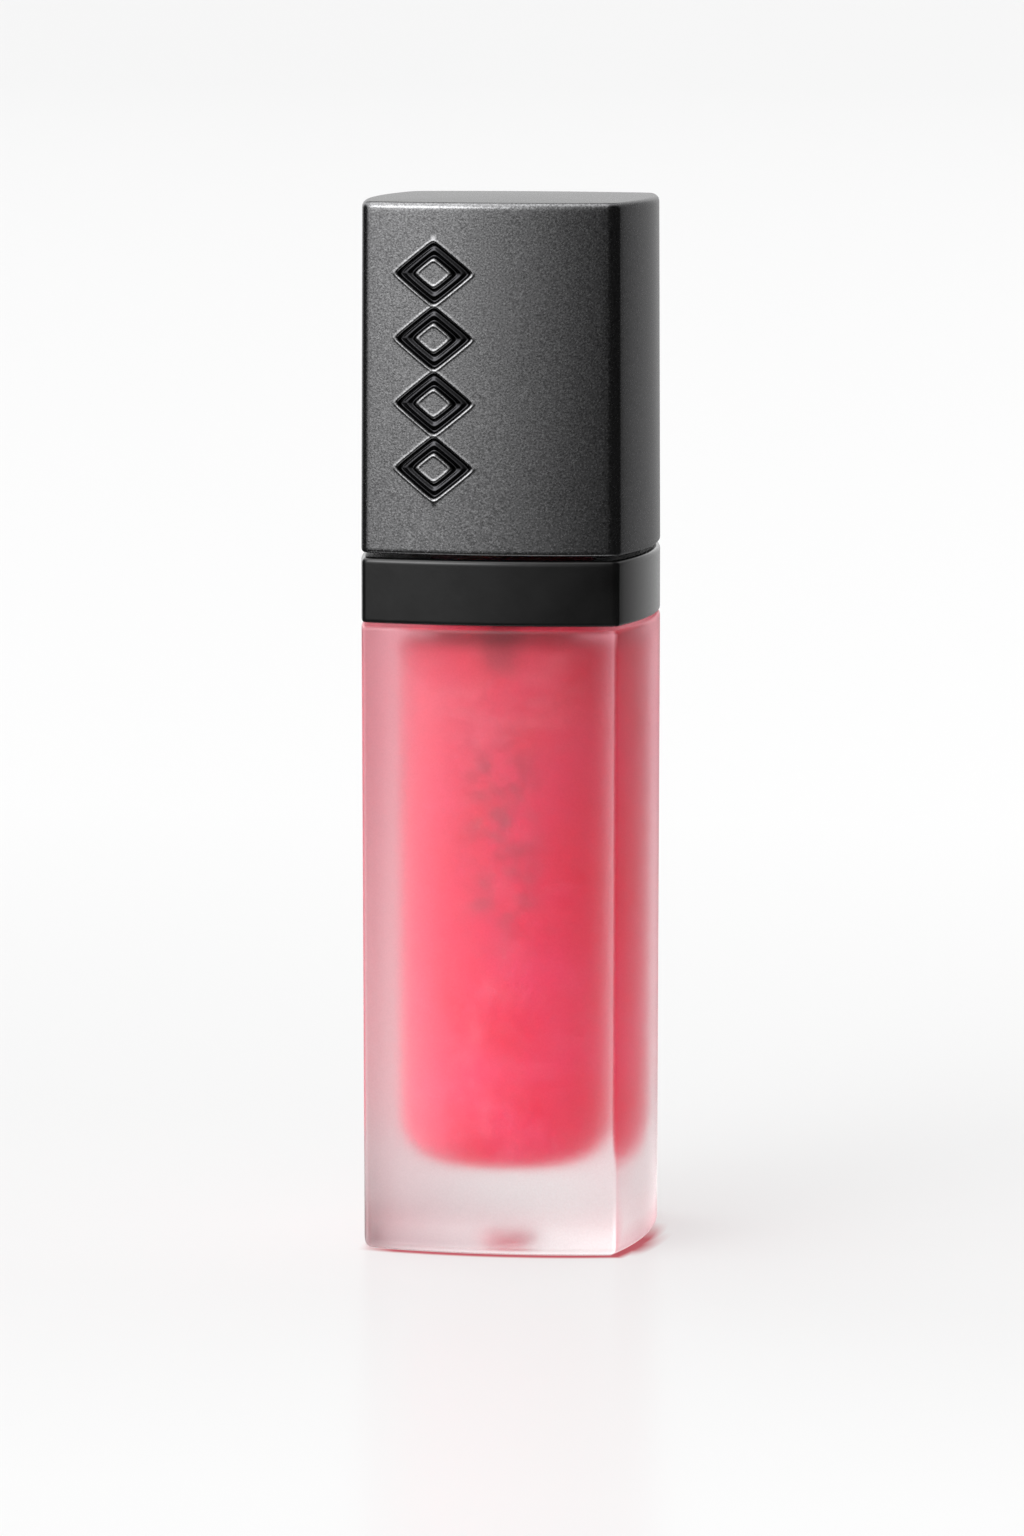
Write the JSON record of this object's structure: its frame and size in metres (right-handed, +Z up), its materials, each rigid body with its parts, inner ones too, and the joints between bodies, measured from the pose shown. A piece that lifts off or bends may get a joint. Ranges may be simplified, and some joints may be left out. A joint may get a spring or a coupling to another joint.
{
  "type": "lip gloss tube",
  "caption": "Square lip gloss tube with bowed faces: frosted thick-wall bottle, black collar and charcoal screw cap carrying a doe-foot applicator.",
  "frame": {"origin": "centre of the base's underside, on the surface that the tube stands on", "axes": "+Z up along the tube's axis, -Y out of the decorated front face, +X to the right of that face"},
  "size_m": [0.021, 0.021, 0.0762],
  "materials": {
    "frosted_plastic": "frosted, translucent",
    "gloss": "coral pink cream with a fine shimmer",
    "black_satin": "satin black",
    "charcoal_lacquer": "satin charcoal lacquer with a fine metallic grain",
    "black_plastic": "moulded black",
    "soft_white": "soft, slightly translucent",
    "seal_foam": "fine closed-cell foam",
    "tip_core": "matte",
    "flock": "short flocked fibre, stained by the gloss"
  },
  "bodies": {
    "bottle": {"bottle": "frosted_plastic", "collar": "black_satin", "wiper": "soft_white"},
    "gloss": {"gloss_fill": "gloss"},
    "seal": {"seal_washer": "seal_foam"},
    "cap": {"outer_cap": "charcoal_lacquer", "inner_cap": "black_plastic", "applicator_stem": "black_plastic", "applicator_tip": "tip_core", "tip_flocking": "flock"}
  },
  "joints": [
    {"name": "cap_twist", "type": "hinge", "parent": "bottle", "child": "gloss", "pos_m": [0, 0, 0.0555], "axis": [0, 0, 1], "range_deg": [0, 450]},
    {"name": "cap_pull", "type": "slide", "parent": "gloss", "child": "seal", "axis": [0, 0, 1], "range_m": [0, 0.062]},
    {"name": "cap_rise", "type": "slide", "parent": "seal", "child": "cap", "axis": [0, 0, 1], "range_m": [0, 0.00313]}
  ],
  "couplings": [
    {"joint": "cap_rise", "follows": "cap_twist", "m_per_rad": 0.00039789}
  ]
}
